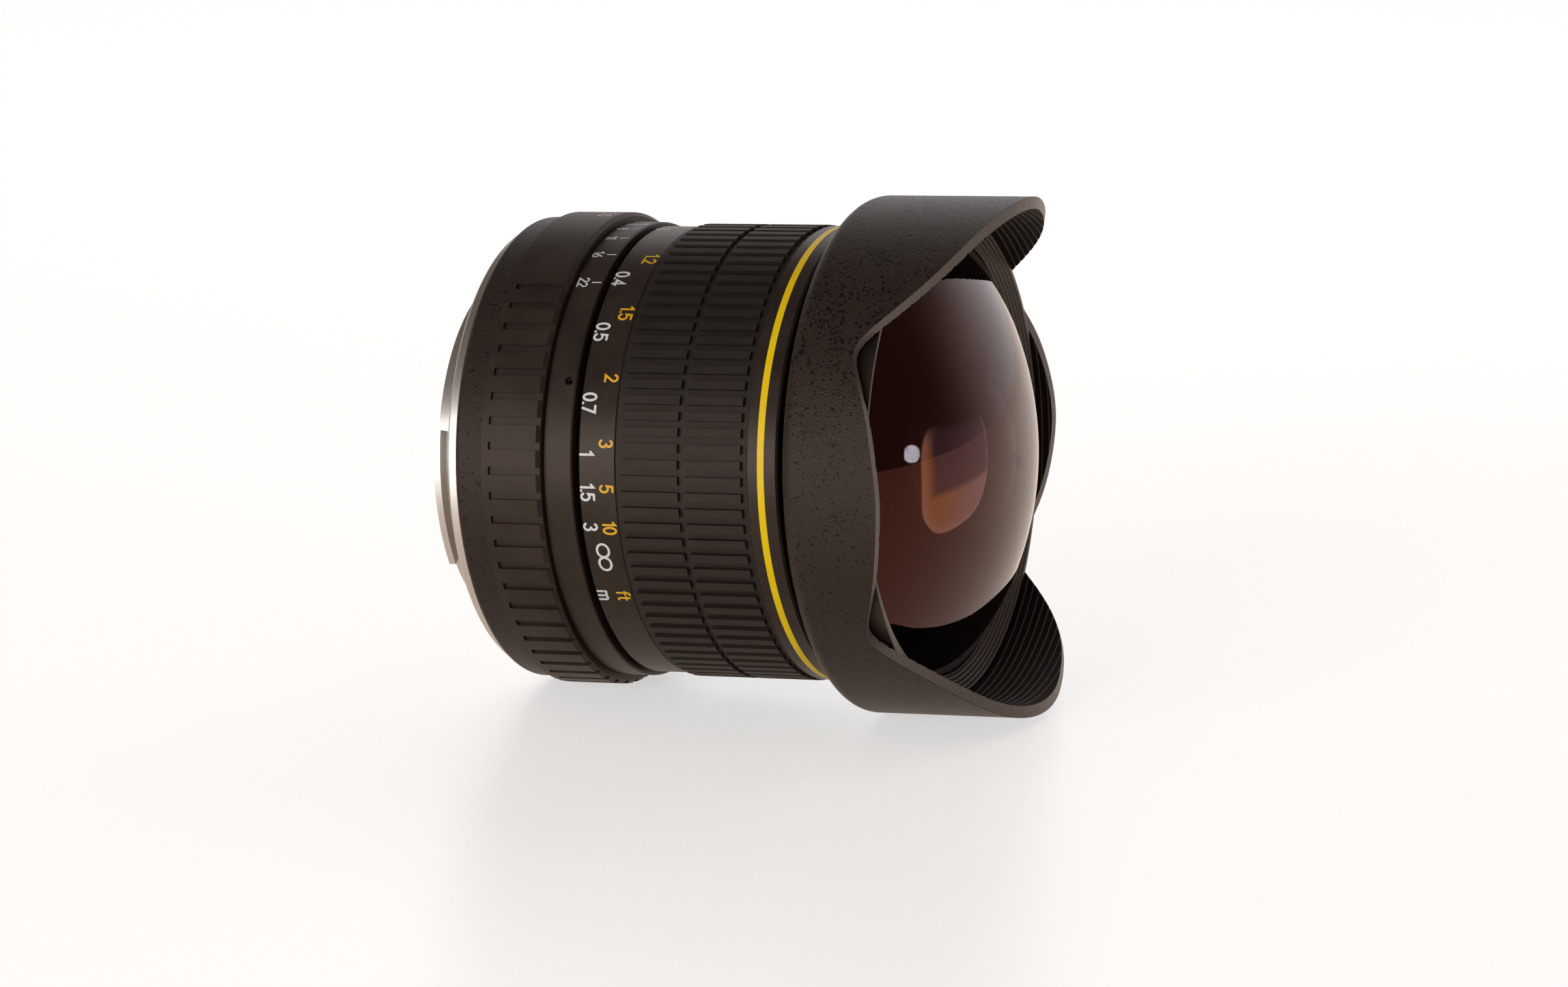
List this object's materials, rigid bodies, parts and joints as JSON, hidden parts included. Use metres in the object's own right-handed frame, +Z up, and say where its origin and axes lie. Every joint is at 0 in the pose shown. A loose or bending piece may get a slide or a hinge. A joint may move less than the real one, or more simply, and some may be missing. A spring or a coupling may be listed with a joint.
{
  "type": "prime lens",
  "caption": "Manual fisheye prime lens with a bulbous front element, fixed petal hood, ribbed focus ring, aperture ring and bayonet mount.",
  "frame": {"origin": "Centre of the mount flange's rear face, on the optical axis.", "axes": "+X along the optical axis towards the subject, +Z up to the index mark when the lens lies on its side as in the picture, +Y away from the pictured side."},
  "size_m": [0.0825, 0.075, 0.075],
  "materials": {
    "mount_steel": "machined stainless steel, satin",
    "screw_steel": "small slotted screws",
    "shim_brass": "rolled sheet",
    "baffle_black": "moulded, matte",
    "cover_black": "coarse wrinkle paint",
    "aperture_black": "satin black",
    "index_black": "satin black",
    "focus_black": "satin black",
    "grip_rubber": "ribbed, matte",
    "accent_yellow": "yellow enamel",
    "hood_black": "pebbled black paint",
    "retainer_black": "matte black",
    "inner_black": "black anodised",
    "guide_metal": "machined and anodised",
    "roller_brass": "turned",
    "spring_steel": "sheet",
    "ball_chrome": "polished",
    "washer_plastic": "low friction sheet",
    "gasket_rubber": "thin sheet",
    "blade_black": "dry black film on thin steel",
    "glass_front": "polished, with a violet and green coating",
    "glass_inner": "polished, coated"
  },
  "bodies": {
    "barrel": {"baffle_screws": "screw_steel", "chassis_screws": "screw_steel", "click_ball": "ball_chrome", "click_spring": "spring_steel", "click_spring_screw": "screw_steel", "focus_stop_screw": "screw_steel", "friction_washer": "washer_plastic", "front_barrel": "inner_black", "front_cell": "inner_black", "front_gasket": "gasket_rubber", "front_retainer": "retainer_black", "glass_1_front": "glass_front", "glass_2_lock_ring": "inner_black", "glass_2_meniscus": "glass_inner", "glass_3_doublet_front": "glass_inner", "glass_3_lock_ring": "inner_black", "glass_4_doublet_back": "glass_inner", "glass_5_lock_ring": "inner_black", "glass_5_positive": "glass_inner", "guide_barrel": "guide_metal", "hood": "hood_black", "index_ring": "index_black", "index_set_screws": "screw_steel", "iris_base": "inner_black", "iris_cover": "inner_black", "iris_screws": "screw_steel", "main_barrel": "inner_black", "mount_bayonet": "mount_steel", "mount_screws": "screw_steel", "mount_shim": "shim_brass", "optics_barrel": "inner_black", "rear_baffle": "baffle_black", "rear_cover": "cover_black"},
    "aperture_ring": {"aperture_ring": "aperture_black", "aperture_arm": "spring_steel", "aperture_arm_screws": "screw_steel"},
    "iris_drive": {"iris_drive_ring": "roller_brass"},
    "focus_ring": {"focus_ring": "focus_black", "focus_cam_ring": "guide_metal", "cam_screws": "screw_steel", "focus_grip": "grip_rubber", "accent_ring": "accent_yellow"},
    "focus_cell": {"focus_cell": "inner_black", "rear_lens_tube": "inner_black", "follower_rollers": "roller_brass", "follower_screws": "screw_steel", "glass_6_doublet_front": "glass_inner", "glass_7_doublet_back": "glass_inner", "glass_8_doublet_front": "glass_inner", "glass_9_doublet_back": "glass_inner", "glass_10_rear": "glass_inner", "glass_6_lock_ring": "inner_black", "glass_9_spacer": "inner_black", "glass_10_lock_ring": "inner_black"},
    "blade_1": {"iris_blade_1": "blade_black"},
    "blade_2": {"iris_blade_2": "blade_black"},
    "blade_3": {"iris_blade_3": "blade_black"},
    "blade_4": {"iris_blade_4": "blade_black"},
    "blade_5": {"iris_blade_5": "blade_black"},
    "blade_6": {"iris_blade_6": "blade_black"}
  },
  "joints": [
    {"name": "aperture_turn", "type": "hinge", "parent": "barrel", "child": "aperture_ring", "pos_m": [0.0109, 0, 0], "axis": [1, 0, 0], "range_deg": [0, 52]},
    {"name": "iris_drive_turn", "type": "hinge", "parent": "barrel", "child": "iris_drive", "pos_m": [0.0337, 0, 0], "axis": [1, 0, 0], "range_deg": [0, 52]},
    {"name": "focus_turn", "type": "hinge", "parent": "barrel", "child": "focus_ring", "pos_m": [0.036, 0, 0], "axis": [1, 0, 0], "range_deg": [-108, 0]},
    {"name": "focus_slide", "type": "slide", "parent": "barrel", "child": "focus_cell", "axis": [1, 0, 0], "range_m": [-0.003, 0]},
    {"name": "blade_1_turn", "type": "hinge", "parent": "barrel", "child": "blade_1", "pos_m": [0.0355, 0.014, 0], "axis": [1, 0, 0], "range_deg": [0, 18.7]},
    {"name": "blade_2_turn", "type": "hinge", "parent": "barrel", "child": "blade_2", "pos_m": [0.0355, 0.007, 0.01212], "axis": [1, 0, 0], "range_deg": [0, 18.7]},
    {"name": "blade_3_turn", "type": "hinge", "parent": "barrel", "child": "blade_3", "pos_m": [0.0355, -0.007, 0.01212], "axis": [1, 0, 0], "range_deg": [0, 18.7]},
    {"name": "blade_4_turn", "type": "hinge", "parent": "barrel", "child": "blade_4", "pos_m": [0.0355, -0.014, 0], "axis": [1, 0, 0], "range_deg": [0, 18.7]},
    {"name": "blade_5_turn", "type": "hinge", "parent": "barrel", "child": "blade_5", "pos_m": [0.0355, -0.007, -0.01212], "axis": [1, 0, 0], "range_deg": [0, 18.7]},
    {"name": "blade_6_turn", "type": "hinge", "parent": "barrel", "child": "blade_6", "pos_m": [0.0355, 0.007, -0.01212], "axis": [1, 0, 0], "range_deg": [0, 18.7]}
  ],
  "couplings": [
    {"joint": "iris_drive_turn", "follows": "aperture_turn", "ratio": 1},
    {"joint": "focus_slide", "follows": "focus_turn", "m_per_rad": 0.0015915},
    {"joint": "blade_1_turn", "follows": "aperture_turn", "ratio": 0.3577},
    {"joint": "blade_2_turn", "follows": "aperture_turn", "ratio": 0.3577},
    {"joint": "blade_3_turn", "follows": "aperture_turn", "ratio": 0.3577},
    {"joint": "blade_4_turn", "follows": "aperture_turn", "ratio": 0.3577},
    {"joint": "blade_5_turn", "follows": "aperture_turn", "ratio": 0.3577},
    {"joint": "blade_6_turn", "follows": "aperture_turn", "ratio": 0.3577}
  ]
}
